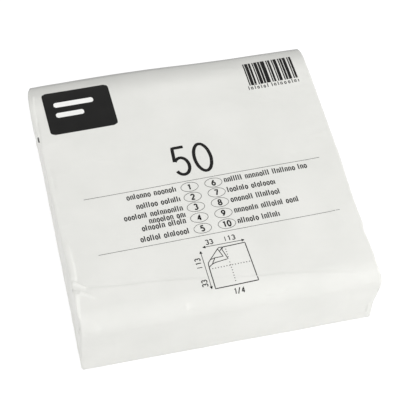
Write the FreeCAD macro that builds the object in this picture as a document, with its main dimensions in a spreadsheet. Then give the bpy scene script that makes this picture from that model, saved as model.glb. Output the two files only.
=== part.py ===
import FreeCAD, Part
import os

import Sketcher

# A sealed pack of folded paper napkins in a tight film wrapper, lying flat as it does on a shelf.
#
# The film is a tube round the stack: over the top, down the front, under the base and up the back,
# with its long seam on the base. Each open end of the tube is closed like an envelope. The two side
# tucks go in first, then the bottom flap comes up, and last the top flap comes down over it and is
# welded near its free edge. Nothing inside can be seen, so the pack is one closed solid.
# X runs from end to end, Y from front to back and Z up. Lengths are in millimetres.

SIZES = [
    ("napkin_side", 165.0, "side of a napkin folded in quarters"),
    ("film_slack", 1.0, "room between the stack and the film, front and back together"),
    ("pack_height", 44.7, "height of the stack in its film"),
    ("end_lean", 2.0, "how much further out an end stands at the top than at the base"),
    ("front_roll", 11.0, "radius where the film rolls from the top to the front"),
    ("back_roll", 4.0, "radius where the film rolls from the top to the back"),
    ("base_roll", 1.0, "radius along the front and back edges of the base"),
    ("end_roll", 2.5, "radius round each end face"),
    ("layer_step", 0.8, "height of one folded layer of film on an end, with the air in it"),
    ("flap_length", 30.0, "length of the top and bottom flaps, from fold to free edge"),
    ("weld_inset", 3.0, "from the top flap's free edge to its first weld line"),
    ("weld_end_gap", 6.0, "from the slanted side of the top flap to the end of a weld line"),
    ("weld_line", 1.0, "width of one weld line"),
    ("weld_pitch", 2.2, "from one weld line to the next"),
    ("weld_depth", 0.4, "depth of a weld line"),
    ("weld_count", 4, "number of weld lines"),
    ("seam_from_back", 60.0, "from the back of the pack to the middle of the long seam"),
    ("seam_width", 10.0, "width of the long seam"),
    ("seam_depth", 0.3, "depth of the long seam's welded band"),
    ("seam_margin", 12.0, "from the end of the long seam to the end of the base"),
    ("pinch_from_front", 22.5, "from the front of the pack to the pinch in the film at the left end"),
    ("pinch_from_end", 7.0, "from the left end of the pack to the point of the pinch"),
    ("crease_width", 3.6, "width of the long crease across the top"),
    ("crease_depth", 0.8, "depth of the long crease"),
    ("crease_fade", 0.3, "how much of its width and depth the long crease keeps at its right end"),
    ("crease_lowest", 3.4, "from the front of the pack to the right end of the long crease"),
    ("crease_end_gap", 7.0, "from the right end of the long crease to the right end of the pack"),
    ("crease_bend", 0.2, "where the long crease reaches the front roll, as a share of the right half"),
    ("pinch_spread", 7.0, "from the middle of the pinch to a side crease, along the left end"),
    ("pinch_depth", 0.4, "depth of the short creases where they meet"),
    ("pinch_end_depth", 2.4, "depth of the short creases at the left end of the pack"),
]

CUT_MARGIN = 10.0  # how far a cutting outline runs past the surface that it cuts
NEAR = 0.01  # two lengths closer than this count as equal when an edge is looked for

# Lengths that several features share, as expressions of the sheet's cells.
HALF_DEPTH = "(sizes.napkin_side + sizes.film_slack) / 2"
HALF_LENGTH = "(sizes.napkin_side / 2 + 2 * sizes.layer_step)"
HALF_BASE = f"({HALF_LENGTH} - sizes.end_lean)"
HEIGHT = "sizes.pack_height"
LEAN_ANGLE = f"atan(sizes.end_lean / {HEIGHT})"
END_HEIGHT = f"{HEIGHT} / cos({LEAN_ANGLE})"
FLAP = "sizes.flap_length"


def fill_sheet(document):
    """Writes the driving sizes to a sheet, one row each: name, value and what it is."""
    sheet = document.addObject("Spreadsheet::Sheet", "sizes")
    for row, (alias, value, note) in enumerate(SIZES, start=1):
        sheet.set(f"A{row}", alias)
        sheet.set(f"B{row}", str(value))
        sheet.set(f"C{row}", note)
        sheet.setAlias(f"B{row}", alias)
    document.recompute()
    return sheet


document = FreeCAD.newDocument("napkin_pack")
sheet = fill_sheet(document)
body = document.addObject("PartDesign::Body", "napkin_pack")
body.Label = "napkin_pack"
body.Placement = FreeCAD.Placement()


def value_of(expression):
    """The number that an expression of the sheet's cells gives."""
    result = sheet.evalExpression(str(expression))
    return float(getattr(result, "Value", result))


def origin_plane(role):
    """One of the body's own origin planes, found by its role."""
    return next(plane for plane in body.Origin.OriginFeatures if plane.Role == role)


def new_sketch(name, role, out="0", tilt=None):
    """A sketch on an origin plane, moved out along its normal and tilted about its own X axis."""
    sketch = body.newObject("Sketcher::SketchObject", name)
    sketch.AttachmentSupport = [(origin_plane(role), "")]
    sketch.MapMode = "FlatFace"
    sketch.setExpression("AttachmentOffset.Base.z", out)
    if tilt is not None:
        tilt_axis = FreeCAD.Vector(1, 0, 0)
        sketch.AttachmentOffset.Rotation = FreeCAD.Rotation(tilt_axis, value_of(tilt))
        sketch.setExpression("AttachmentOffset.Rotation.Angle", tilt)
    return sketch


def add_polygon(sketch, name, points):
    """A closed outline of straight lines. Each point is a pair of expressions."""
    corners = [FreeCAD.Vector(value_of(x), value_of(y), 0) for x, y in points]
    first = sketch.GeometryCount
    for start, stop in zip(corners, corners[1:] + corners[:1]):
        sketch.addGeometry(Part.LineSegment(start, stop), False)
    for number, point in enumerate(points):
        following = first + (number + 1) % len(points)
        sketch.addConstraint(Sketcher.Constraint("Coincident", first + number, 2, following, 1))
        for kind, expression in zip("XY", point):
            size = value_of(expression)
            distance = Sketcher.Constraint(f"Distance{kind}", -1, 1, first + number, 1, size)
            index = sketch.addConstraint(distance)
            sketch.renameConstraint(index, f"{name}{number}_{kind}")
            sketch.setExpression(f"Constraints.{name}{number}_{kind}", str(expression))


def edge_names(feature, wanted):
    """Names of the edges of a feature's shape for which wanted(edge) is true."""
    found = [f"Edge{n}" for n, edge in enumerate(feature.Shape.Edges, start=1) if wanted(edge)]
    if not found:
        raise RuntimeError(f"no edge of {feature.Name} fits")
    return found


def long_edge(side, level):
    """A test for the edge along the front (side -1) or the back (side 1) at a height."""

    def wanted(edge):
        box = edge.BoundBox
        spans = box.XLength > value_of(HALF_LENGTH)
        at_level = abs(box.ZMin - value_of(level)) < NEAR and box.ZLength < NEAR
        return spans and at_level and side * box.Center.y > 0

    return wanted


def base_edge(edge):
    """A test for the front and back edges of the base."""
    return long_edge(-1, "0")(edge) or long_edge(1, "0")(edge)


def end_edge(edge):
    """A test for the edges round the two end faces: both their ends lie out at an end."""
    return all(abs(vertex.X) > value_of(HALF_BASE) - NEAR for vertex in edge.Vertexes) and (
        edge.BoundBox.XLength < value_of(HALF_LENGTH)
    )


def add_fillet(name, base, wanted, radius):
    """A fillet of the chosen edges, with its radius bound to the sheet."""
    fillet = body.newObject("PartDesign::Fillet", name)
    fillet.Base = (base, edge_names(base, wanted))
    fillet.setExpression("Radius", radius)
    document.recompute()
    return fillet


def add_cut(kind, name, settings):
    """A feature that takes material away. It must leave less behind than there was."""
    before = body.Shape.Volume
    cut = body.newObject(kind, name)
    settings(cut)
    body.Tip = cut
    document.recompute()
    if not cut.Shape.Volume < before:
        raise RuntimeError(f"{name} cuts nothing")
    return cut


def add_pocket(name, sketch, depth):
    """A pocket against the normal of its sketch."""

    def settings(pocket):
        pocket.Profile = sketch
        pocket.setExpression("Length", depth)

    return add_cut("PartDesign::Pocket", name, settings)


def mirror_to_left(name, cuts):
    """Repeats the cuts of the right end at the left end."""

    def settings(mirror):
        mirror.Originals = cuts
        mirror.MirrorPlane = (origin_plane("YZ_Plane"), [""])

    return add_cut("PartDesign::Mirrored", name, settings)


def add_crease(name, stations):
    """A crease in the film: a V-shaped groove that runs through its stations in turn.

    Each station is (x, distance from the front, level of the surface, width, depth).
    """
    sections = []
    for number, (x, from_front, level, width, depth) in enumerate(stations):
        section = new_sketch(f"{name}_{number}", "YZ_Plane", x)
        middle = f"{from_front} - {HALF_DEPTH}"
        add_polygon(
            section,
            "station",
            [
                (f"{middle} - {width}", f"{level} + {depth}"),
                (middle, f"{level} - {depth}"),
                (f"{middle} + {width}", f"{level} + {depth}"),
            ],
        )
        sections.append(section)
    document.recompute()

    def settings(loft):
        loft.Profile = sections[0]
        loft.Sections = sections[1:]
        loft.Ruled = True

    return add_cut("PartDesign::SubtractiveLoft", name, settings)


# The block, seen from the front: a little longer at the top than at the base.
front_view = new_sketch("front_view", "XZ_Plane")
add_polygon(
    front_view,
    "corner",
    [
        (f"-{HALF_BASE}", "0"),
        (HALF_BASE, "0"),
        (HALF_LENGTH, HEIGHT),
        (f"-{HALF_LENGTH}", HEIGHT),
    ],
)
block = body.newObject("PartDesign::Pad", "block")
block.Profile = front_view
block.Midplane = True
block.setExpression("Length", f"2 * {HALF_DEPTH}")
document.recompute()

# The film rolls over the long edges and turns round each end face.
rolled = add_fillet("front_roll", block, long_edge(-1, HEIGHT), "sizes.front_roll")
rolled = add_fillet("back_roll", rolled, long_edge(1, HEIGHT), "sizes.back_roll")
rolled = add_fillet("base_roll", rolled, base_edge, "sizes.base_roll")
rolled = add_fillet("end_roll", rolled, end_edge, "sizes.end_roll")

# The envelope end. The top flap is the outermost layer. What it leaves bare lies one layer back, at
# the bottom flap, and what both flaps leave bare lies two layers back, at the side tucks. The sides
# of a flap slant at 45 degrees from the corners of the end face.
bare_of_top = new_sketch("bare_of_top_flap", "YZ_Plane", HALF_BASE, LEAN_ANGLE)
add_polygon(
    bare_of_top,
    "bare",
    [
        (f"-{HALF_DEPTH} - {CUT_MARGIN}", f"{END_HEIGHT} + {CUT_MARGIN}"),
        (f"-{HALF_DEPTH} + {FLAP}", f"{END_HEIGHT} - {FLAP}"),
        (f"{HALF_DEPTH} - {FLAP}", f"{END_HEIGHT} - {FLAP}"),
        (f"{HALF_DEPTH} + {CUT_MARGIN}", f"{END_HEIGHT} + {CUT_MARGIN}"),
        (f"{HALF_DEPTH} + {CUT_MARGIN}", f"-{CUT_MARGIN}"),
        (f"-{HALF_DEPTH} - {CUT_MARGIN}", f"-{CUT_MARGIN}"),
    ],
)
bottom_flap = add_pocket("bottom_flap_level", bare_of_top, "sizes.layer_step")

bare_of_both = new_sketch("bare_of_both_flaps", "YZ_Plane", HALF_BASE, LEAN_ANGLE)
for corner, outward, inward in (("front", "-", "+"), ("back", "+", "-")):
    add_polygon(
        bare_of_both,
        f"{corner}_tuck",
        [
            (f"{outward}({HALF_DEPTH}) {inward} {END_HEIGHT} / 2", f"{END_HEIGHT} / 2"),
            (f"{outward}({HALF_DEPTH} + {CUT_MARGIN})", f"{END_HEIGHT} + {CUT_MARGIN}"),
            (f"{outward}({HALF_DEPTH} + {CUT_MARGIN})", f"-{CUT_MARGIN}"),
        ],
    )
side_tucks = add_pocket("side_tuck_level", bare_of_both, "2 * sizes.layer_step")

# The weld: straight lines pressed into the top flap, just above its free edge.
WELD_LOW = f"({END_HEIGHT} - {FLAP} + sizes.weld_inset)"
WELD_HALF = f"({HALF_DEPTH} - {FLAP} - sizes.weld_end_gap)"
weld_lines = new_sketch("weld_lines", "YZ_Plane", HALF_BASE, LEAN_ANGLE)
for number in range(round(value_of("sizes.weld_count"))):
    low = f"{WELD_LOW} + {number} * sizes.weld_pitch"
    add_polygon(
        weld_lines,
        f"line{number}_",
        [
            (f"-{WELD_HALF}", low),
            (WELD_HALF, low),
            (WELD_HALF, f"{low} + sizes.weld_line"),
            (f"-{WELD_HALF}", f"{low} + sizes.weld_line"),
        ],
    )
weld = add_pocket("weld", weld_lines, "sizes.weld_depth")
mirror_to_left("left_end", [bottom_flap, side_tucks, weld])

# The long seam of the tube: a welded band along the base. Seen from below, Y is turned round.
SEAM_HALF = f"({HALF_BASE} - sizes.seam_margin)"
SEAM_NEAR = f"{HALF_DEPTH} - sizes.seam_from_back - sizes.seam_width / 2"
seam_band = new_sketch("seam_band", "XY_Plane")
add_polygon(
    seam_band,
    "band",
    [
        (f"-{SEAM_HALF}", SEAM_NEAR),
        (SEAM_HALF, SEAM_NEAR),
        (SEAM_HALF, f"{SEAM_NEAR} + sizes.seam_width"),
        (f"-{SEAM_HALF}", f"{SEAM_NEAR} + sizes.seam_width"),
    ],
)


def seam_settings(pocket):
    """The seam is cut upwards, along the normal of its sketch."""
    pocket.Profile = seam_band
    pocket.Reversed = True
    pocket.setExpression("Length", "sizes.seam_depth")


add_cut("PartDesign::Pocket", "long_seam", seam_settings)

# Creases in the top. The long one starts at a pinch near the left end, where three short ones
# meet it, and runs down over the front roll towards the right end.
PINCH_X = f"sizes.pinch_from_end - {HALF_LENGTH}"
PINCH_Y = "sizes.pinch_from_front"
WIDTH = "sizes.crease_width"
DEPTH = "sizes.crease_depth"


def roll_level(from_front):
    """Height of the front roll's surface at a distance from the front."""
    reach = f"(sizes.front_roll - ({from_front}))"
    return f"{HEIGHT} - sizes.front_roll + sqrt(sizes.front_roll ^ 2 - {reach} ^ 2)"


LOWEST = "sizes.crease_lowest"
HALFWAY_DOWN = f"(sizes.front_roll + {LOWEST}) / 2"
CREASE_END = f"({HALF_LENGTH} - sizes.crease_end_gap)"
FADE = "sizes.crease_fade"
add_crease(
    "long_crease",
    [
        (PINCH_X, PINCH_Y, HEIGHT, WIDTH, DEPTH),
        (f"sizes.crease_bend * {CREASE_END}", "sizes.front_roll", HEIGHT, WIDTH, DEPTH),
        (f"{CREASE_END} / 2", HALFWAY_DOWN, roll_level(HALFWAY_DOWN), WIDTH, DEPTH),
        (CREASE_END, LOWEST, roll_level(LOWEST), f"{FADE} * {WIDTH}", f"{FADE} * {DEPTH}"),
    ],
)
for name, side in (("pinch_back", 1), ("pinch_middle", 0), ("pinch_front", -1)):
    at_end = f"{PINCH_Y} + {side} * sizes.pinch_spread"
    add_crease(
        name,
        [
            (f"-{HALF_LENGTH}", at_end, HEIGHT, WIDTH, "sizes.pinch_end_depth"),
            (PINCH_X, PINCH_Y, HEIGHT, WIDTH, "sizes.pinch_depth"),
        ],
    )

# Every object must be sound before the solid is written out.
document.recompute()
for item in document.Objects:
    if {"Invalid", "Error"} & set(item.State):
        raise RuntimeError(f"{item.Name} is in state {item.State}")
if body.Shape.isNull() or not body.Shape.isValid() or len(body.Shape.Solids) != 1:
    raise RuntimeError("the pack is not one valid solid")
os.makedirs("parts", exist_ok=True)
body.Shape.exportStep(f"parts/{body.Label}.step")
box = body.Shape.optimalBoundingBox(False)
print("length, depth and height:", round(box.XLength, 2), round(box.YLength, 2), round(box.ZLength, 2))
print("volume:", round(body.Shape.Volume), "cubic millimetres")
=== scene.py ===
# %% [markdown]
# A sealed pack of paper napkins, lying flat on a pale table: fifty napkins, folded in four, in a
# tube of thin white film. The solid from the CAD model gives the size and the place. This
# notebook puts the film's skin, its folds and its print on it.

# %% Load the frame
import math

import bpy
import numpy as np
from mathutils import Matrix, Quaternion, Vector, noise
from mathutils.bvhtree import BVHTree


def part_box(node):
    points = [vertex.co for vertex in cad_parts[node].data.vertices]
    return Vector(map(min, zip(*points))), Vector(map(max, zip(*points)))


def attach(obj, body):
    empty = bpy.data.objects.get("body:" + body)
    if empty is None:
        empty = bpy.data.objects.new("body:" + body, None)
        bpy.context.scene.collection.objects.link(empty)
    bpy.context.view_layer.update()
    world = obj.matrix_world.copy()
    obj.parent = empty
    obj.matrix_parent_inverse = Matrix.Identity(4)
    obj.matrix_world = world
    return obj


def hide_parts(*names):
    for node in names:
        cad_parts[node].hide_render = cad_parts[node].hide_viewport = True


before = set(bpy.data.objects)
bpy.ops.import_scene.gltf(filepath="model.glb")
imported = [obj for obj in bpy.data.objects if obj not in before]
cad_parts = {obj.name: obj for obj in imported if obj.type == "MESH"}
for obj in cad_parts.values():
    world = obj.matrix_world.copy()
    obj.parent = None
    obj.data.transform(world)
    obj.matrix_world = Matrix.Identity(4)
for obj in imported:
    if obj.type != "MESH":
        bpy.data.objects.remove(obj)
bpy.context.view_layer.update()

MM = 0.001
lowest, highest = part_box("napkin_pack")
HALF_X = highest.x / MM
HALF_Y = highest.y / MM
HEIGHT = highest.z / MM
print(f"the pack is {2 * HALF_X:.1f} by {2 * HALF_Y:.1f} by {HEIGHT:.1f} mm")

# %% [markdown]
# The camera comes first, because every fold is judged through it. Its place, lens and tilt were
# worked out from the straight edges of the pack in the photograph: a long lens, a step to the
# left of the front, looking down at about 55 degrees, and held a little askew.

# %% Camera
CAMERA_AT = Vector((-0.1464, -0.4508, 0.6920))
LOOKS_AT = Vector((-0.0030, -0.0159, 0.0447))
CAMERA_TILT = math.radians(5.56)
LENS = 127.6


def place_and_aim(thing, place, target, tilt=0.0):
    """Puts a camera or a lamp in the scene at a place, looking at a target."""
    bpy.context.scene.collection.objects.link(thing)
    thing.location = place
    thing.rotation_mode = "QUATERNION"
    level = (target - Vector(place)).to_track_quat("-Z", "Y")
    thing.rotation_quaternion = level @ Quaternion((0, 0, 1), tilt)


camera = bpy.data.objects.new("camera", bpy.data.cameras.new("camera"))
camera.data.lens = LENS
bpy.context.scene.camera = camera
place_and_aim(camera, CAMERA_AT, LOOKS_AT, CAMERA_TILT)
print("camera at", [round(value, 3) for value in camera.location])

# %% [markdown]
# The film is one tube round the stack: over the top, down the front, under the base and up the
# back. It rolls over the long edges in soft curves, the front one the largest. Hand modelling or
# a cloth simulation could make it, but a close grid of points on a box, bent over those rolls,
# keeps to the size of the solid and leaves every fold where it is wanted. The grid is finest
# where the film is creased.

# %% Lines of the film's grid
FRONT_ROLL = 11.0
BACK_ROLL = 4.5
BASE_ROLL = 0.8
END_ROLL = 1.2
ROLL_STEPS = 4
FINEST_REACH = 11.0  # from the ends, where the folds are sharpest
FINE_REACH = 22.0
CREASED_REACH = 30.0  # from the front
SLACK_REACH = 16.0  # from the back
UPPER_REACH = 4.0  # from the top


def spaced(*stretches):
    """Numbers over stretches in turn, each (start, stop, step), and the last end."""
    numbers = []
    for start, stop, step in stretches:
        count = max(1, round((stop - start) / step))
        numbers += list(np.linspace(start, stop, count, endpoint=False))
    return numbers + [stretches[-1][1]]


def grid_lines():
    """Grid lines of the box in millimetres: (x, inset) pairs along X, then y, then z."""
    flat_end = HALF_X - END_ROLL
    finest_end = HALF_X - FINEST_REACH
    fine_end = HALF_X - FINE_REACH
    turns = [math.radians(90) * step / ROLL_STEPS for step in range(ROLL_STEPS + 1)]
    right = [(flat_end + END_ROLL * math.sin(t), END_ROLL * (1 - math.cos(t))) for t in turns]
    left = [(-x, inset) for x, inset in reversed(right)]
    middle = spaced(
        (-flat_end, -finest_end, 0.55),
        (-finest_end, -fine_end, 0.9),
        (-fine_end, fine_end, 1.6),
        (fine_end, finest_end, 1.0),
        (finest_end, flat_end, 0.7),
    )
    along_x = left + [(x, 0.0) for x in middle[1:-1]] + right
    along_y = spaced(
        (-HALF_Y, -HALF_Y + BASE_ROLL, 0.2),
        (-HALF_Y + BASE_ROLL, -HALF_Y + CREASED_REACH, 0.55),
        (-HALF_Y + CREASED_REACH, HALF_Y - SLACK_REACH, 1.3),
        (HALF_Y - SLACK_REACH, HALF_Y - BASE_ROLL, 0.8),
        (HALF_Y - BASE_ROLL, HALF_Y, 0.2),
    )
    along_z = spaced(
        (0.0, BASE_ROLL, 0.2),
        (BASE_ROLL, HEIGHT - UPPER_REACH, 1.05),
        (HEIGHT - UPPER_REACH, HEIGHT, 0.5),
    )
    return along_x, along_y, along_z


print("grid lines along X, Y and Z:", [len(lines) for lines in grid_lines()])

# %% The grid of the film
def rolled(y, z):
    """Points (y, z) on the rim of a rectangle, moved on to the rim with its corners rolled."""
    y, z = y.copy(), z.copy()
    corners = (
        (-1, HEIGHT, FRONT_ROLL),
        (1, HEIGHT, BACK_ROLL),
        (-1, 0.0, BASE_ROLL),
        (1, 0.0, BASE_ROLL),
    )
    for side, level, radius in corners:
        up = 1 if level > 0 else -1
        centre_y = side * (HALF_Y - radius)
        centre_z = level - up * radius
        out_y = (y - centre_y) * side
        out_z = (z - centre_z) * up
        near = (out_y > 0) & (out_z > 0)
        reach = np.hypot(out_y[near], out_z[near])
        y[near] = centre_y + side * radius * out_y[near] / reach
        z[near] = centre_z + up * radius * out_z[near] / reach
    return y, z


def grid_faces(grid):
    """The four-sided faces between the points of a grid."""
    quads = np.stack([grid[:-1, :-1], grid[1:, :-1], grid[1:, 1:], grid[:-1, 1:]], -1)
    return quads.reshape(-1, 4)


def film_grid():
    """Points of the smooth film in millimetres, and the four-sided faces between them."""
    along_x, along_y, along_z = grid_lines()
    counts = (len(along_x), len(along_y), len(along_z))
    number = -np.ones(counts, int)
    i, j, k = np.indices(counts)
    last = [count - 1 for count in counts]
    skin = (i % last[0] == 0) | (j % last[1] == 0) | (k % last[2] == 0)
    number[skin] = np.arange(skin.sum())
    x, inset = np.array(along_x)[i[skin]].T
    y = np.array(along_y)[j[skin]]
    z = np.array(along_z)[k[skin]] - HEIGHT / 2

    # A point inside an end face is a share of the way out to the rim.
    share = np.maximum(np.abs(y) / HALF_Y, np.abs(z) / (HEIGHT / 2))
    share = np.maximum(share, 1e-6)
    rim_y, rim_z = rolled(y / share, z / share + HEIGHT / 2)
    y = rim_y * share * (HALF_Y - inset) / HALF_Y
    z = (rim_z - HEIGHT / 2) * share * (HEIGHT / 2 - inset) / (HEIGHT / 2) + HEIGHT / 2

    faces = []
    for axis, end in ((0, 0), (0, 1), (1, 0), (1, 1), (2, 0), (2, 1)):
        quads = grid_faces(np.take(number, end * last[axis], axis))
        outward = (end == 1) != (axis == 1)
        faces.append(quads if outward else quads[:, ::-1])
    return np.stack([x, y, z], 1), np.concatenate(faces)


box_film, film_faces = film_grid()
print("film grid:", len(box_film), "points,", 2 * len(film_faces), "triangles")

# %% [markdown]
# Fifty soft napkins don't make a true block. The film sags towards the back edge and bulges
# behind it, bellies at the foot of the front, and leans in at the ends. Sculpting could do that.
# Here these are small moves of the whole grid, each a soft rise and fall with named lengths, so
# that each can be changed alone.

# %% The pack's own shape
BACK_SAG = 2.0
BACK_SAG_WIDTH = 14.0
BACK_BULGE = 3.0
BULGE_LEVEL = 0.75  # share of the height at which the back bulges most
BACK_BOW = 1.9
BOW_MIDDLE, BOW_REACH = -30, 75
FOOT_BULGE = 1.2
FRONT_SAG = 1.2
FRONT_SAG_WIDTH = 26.0
LEAN = {"left": (0.5, 2.9), "right": (0.8, 1.8)}  # at the front and at the back
END_HOLLOW = 0.5
STEP_IN = 1.3  # at the top of the right end, before its front corner
CORNER_ROUND = {"left": 1.3, "right": 0.3}
CORNER_WIDTH = 6.0


def smoothstep(low, high, value):
    """0 below low, 1 above high, and a soft rise between."""
    t = np.clip((value - low) / (high - low), 0, 1)
    return t * t * (3 - 2 * t)


def mound(value, centre, reach):
    """1 at the centre, falling softly to 0 at the reach on both sides."""
    t = np.clip(np.abs(value - centre) / reach, 0, 1)
    return (1 - t * t) ** 2


# Where else an end stands out: the end's side, how far, at which y, over what reach, how high up.
END_SHAPES = (
    (1, 0.9, -84, 9, lambda up: mound(up, 0.76, 0.35)),
    (1, -0.7, -84, 12, lambda up: mound(up, 0.3, 0.35)),
    (1, -1.1, -30, 36, lambda up: smoothstep(0.5, 1.0, up)),
    (1, -0.5, -44, 24, lambda up: smoothstep(0.5, 1.0, up)),
    (-1, 0.9, -78, 60, lambda up: mound(up, 0.35, 0.6)),
    (-1, 1.2, 62, 24, lambda up: smoothstep(0.2, 0.8, up)),
)


def settle(points):
    """Moves the boxy film's points to the shape of the slack pack."""
    x, y, z = points.T.copy()
    up = z / HEIGHT
    to_back = np.clip((y - HALF_Y + BACK_SAG_WIDTH) / BACK_SAG_WIDTH, 0, 1)
    z = z - BACK_SAG * to_back**2 * up
    near_front = np.clip((-y - HALF_Y + FRONT_SAG_WIDTH) / FRONT_SAG_WIDTH, 0, 1)
    z = z - FRONT_SAG * near_front**1.5 * up
    bulge = BACK_BULGE + BACK_BOW * mound(x, BOW_MIDDLE, BOW_REACH)
    y = y + bulge * mound(up, BULGE_LEVEL, 0.75) * to_back**2
    y = y - FOOT_BULGE * (1 - up) * smoothstep(0.6, 1.0, -y / HALF_Y)

    to_front = (HALF_Y - y) / (2 * HALF_Y)
    for side, (front, back) in zip((-1, 1), LEAN.values()):
        lean = back + (front - back) * to_front
        x = np.where(x * side > 0, x * (1 - lean / HALF_X * (1 - up)), x)

    # The end faces are hollow between their rims, and the folded flaps lie in the hollow.
    rim = np.minimum(smoothstep(0, 6, HALF_Y - np.abs(y)), smoothstep(0.6, 3.0, HEIGHT - z))
    rim = np.minimum(rim, smoothstep(0.6, 3.0, z))
    flat_end = HALF_X - LEAN["left"][1]
    on_end = smoothstep(flat_end - END_ROLL, flat_end, np.abs(points[:, 0]))
    x = x - np.sign(x) * END_HOLLOW * rim * on_end

    at_end = {side: smoothstep(0.8, 1.0, side * x / HALF_X) for side in (-1, 1)}
    before_corner = smoothstep(-48, -54, y) * smoothstep(-79, -74, y)
    x = x - STEP_IN * at_end[1] * before_corner * smoothstep(0.7, 1.0, up)
    for side, out, middle, reach, rise in END_SHAPES:
        x = x + side * out * at_end[side] * mound(y, middle, reach) * rise(up)
    back_corner = np.clip((y - HALF_Y + CORNER_WIDTH) / CORNER_WIDTH, 0, 1) ** 2
    rounding = CORNER_ROUND["left"] * at_end[-1] - CORNER_ROUND["right"] * at_end[1]
    x = x + rounding * back_corner
    return np.stack([x, y, z], 1)


def make_object(name, points, faces, material=None):
    """A mesh object from points in millimetres."""
    mesh = bpy.data.meshes.new(name)
    places = [tuple(point) for point in np.asarray(points) * MM]
    mesh.from_pydata(places, [], np.asarray(faces).tolist())
    mesh.validate()
    mesh.polygons.foreach_set("use_smooth", [True] * len(mesh.polygons))
    mesh.update()
    if material is not None:
        mesh.materials.append(material)
    piece = bpy.data.objects.new(name, mesh)
    bpy.context.scene.collection.objects.link(piece)
    return piece


def vertex_normals(mesh):
    """The outward direction at each point of a mesh."""
    normals = np.zeros(3 * len(mesh.vertices), np.float32)
    mesh.vertex_normals.foreach_get("vector", normals)
    return normals.reshape(-1, 3).astype(float)


smooth_film = settle(box_film)
film = make_object("film_wrap", smooth_film, film_faces)
outward = vertex_normals(film.data)
furthest = np.abs(smooth_film - box_film).max()
print("the pack's own shape moved points by up to", round(furthest, 1), "mm")

# %% [markdown]
# Film hardly stretches, so what doesn't fit goes into sharp little ridges and valleys that run
# from where it is pinched. Each is drawn as a line on one side of the pack, with a width, a
# height (below zero for a valley) and the share of its length over which it fades in and out. A
# sharp fold can also get a highlight painted along it. Cloth simulation makes such folds, but never
# in the places that the photograph asks for.

# %% Lines of the folds
SIDES = {
    "top": ((0, 1), (0, 0, 1)),
    "base": ((0, 1), (0, 0, -1)),
    "front": ((0, 2), (0, -1, 0)),
    "back": ((0, 2), (0, 1, 0)),
    "left": ((1, 2), (-1, 0, 0)),
    "right": ((1, 2), (1, 0, 0)),
}


def faces_side(side, reach=(0.25, 0.6)):
    """How much each point of the film belongs to a side, from 0 to 1."""
    return smoothstep(*reach, outward @ np.array(SIDES[side][1], float))


def through(points, step=1.5):
    """A smooth line through given points, as points about one step apart."""
    points = np.array(points, float)
    padded = np.vstack([2 * points[0] - points[1], points, 2 * points[-1] - points[-2]])
    line = []
    for a, b, c, d in zip(padded, padded[1:], padded[2:], padded[3:]):
        count = max(2, math.ceil(np.linalg.norm(c - b) / step))
        for t in np.arange(count) / count:
            bend = (2 * a - 5 * b + 4 * c - d) * t**2 + (3 * b - a - 3 * c + d) * t**3
            line.append(b + ((c - a) * t + bend) / 2)
    return np.array(line + [points[-1]])


def beside(line, places):
    """For each place: its signed distance from a line, and its share of the way along it."""
    lengths = np.linalg.norm(np.diff(line, axis=0), axis=1)
    before = np.concatenate([[0], np.cumsum(lengths)])
    nearest = np.full(len(places), 1e9)
    signed = np.full(len(places), 1e9)
    share = np.zeros(len(places))
    for number, (start, stop) in enumerate(zip(line, line[1:])):
        run = stop - start
        t = np.clip((places - start) @ run / (run @ run), 0, 1)
        gap = places - start - t[:, None] * run
        distance = np.hypot(gap[:, 0], gap[:, 1])
        closer = distance < nearest
        left_of = np.where(run[0] * gap[:, 1] - run[1] * gap[:, 0] >= 0, 1.0, -1.0)
        nearest[closer] = distance[closer]
        signed[closer] = (distance * left_of)[closer]
        share[closer] = (before[number] + t * lengths[number])[closer] / before[-1]
    return signed, share


lift = np.zeros(len(smooth_film))
# how much painted highlight each point gets on sharp folds
fold_highlight_paint = np.zeros(len(smooth_film))


def fold(
    side, points, width, height, fade=(0.15, 0.3), other_width=None,
    power=1.7, crown=1, narrowing=0, paints_highlight=0.0,
):
    """Adds one ridge or valley. width is on the left of the line, other_width on its right."""
    axes, _ = SIDES[side]
    weight = faces_side(side)
    near = np.flatnonzero(weight > 0)
    distance, share = beside(through(points), smooth_film[near][:, axes])
    reach = np.where(distance > 0, width, other_width or width) * (1 - narrowing * share)
    shape = np.clip(1 - (np.abs(distance) / reach) ** crown, 0, 1) ** power
    ends = smoothstep(0, max(fade[0], 1e-3), share) * smoothstep(0, max(fade[1], 1e-3), 1 - share)
    lift[near] += height * shape * ends * weight[near]
    # a painted highlight along the fold, strongest on its crest
    white = paints_highlight * np.sqrt(shape) * ends * weight[near]
    fold_highlight_paint[near] = np.maximum(fold_highlight_paint[near], white)


def swell(side, centre, reach, height):
    """Adds one soft mound, or a hollow below zero, round a place on a side."""
    axes, _ = SIDES[side]
    across, along = (smooth_film[:, axis] for axis in axes)
    distance = np.hypot((across - centre[0]) / reach[0], (along - centre[1]) / reach[1])
    lift[:] += height * mound(distance, 0, 1) * faces_side(side)


print("sides that can be folded:", ", ".join(SIDES))
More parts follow.
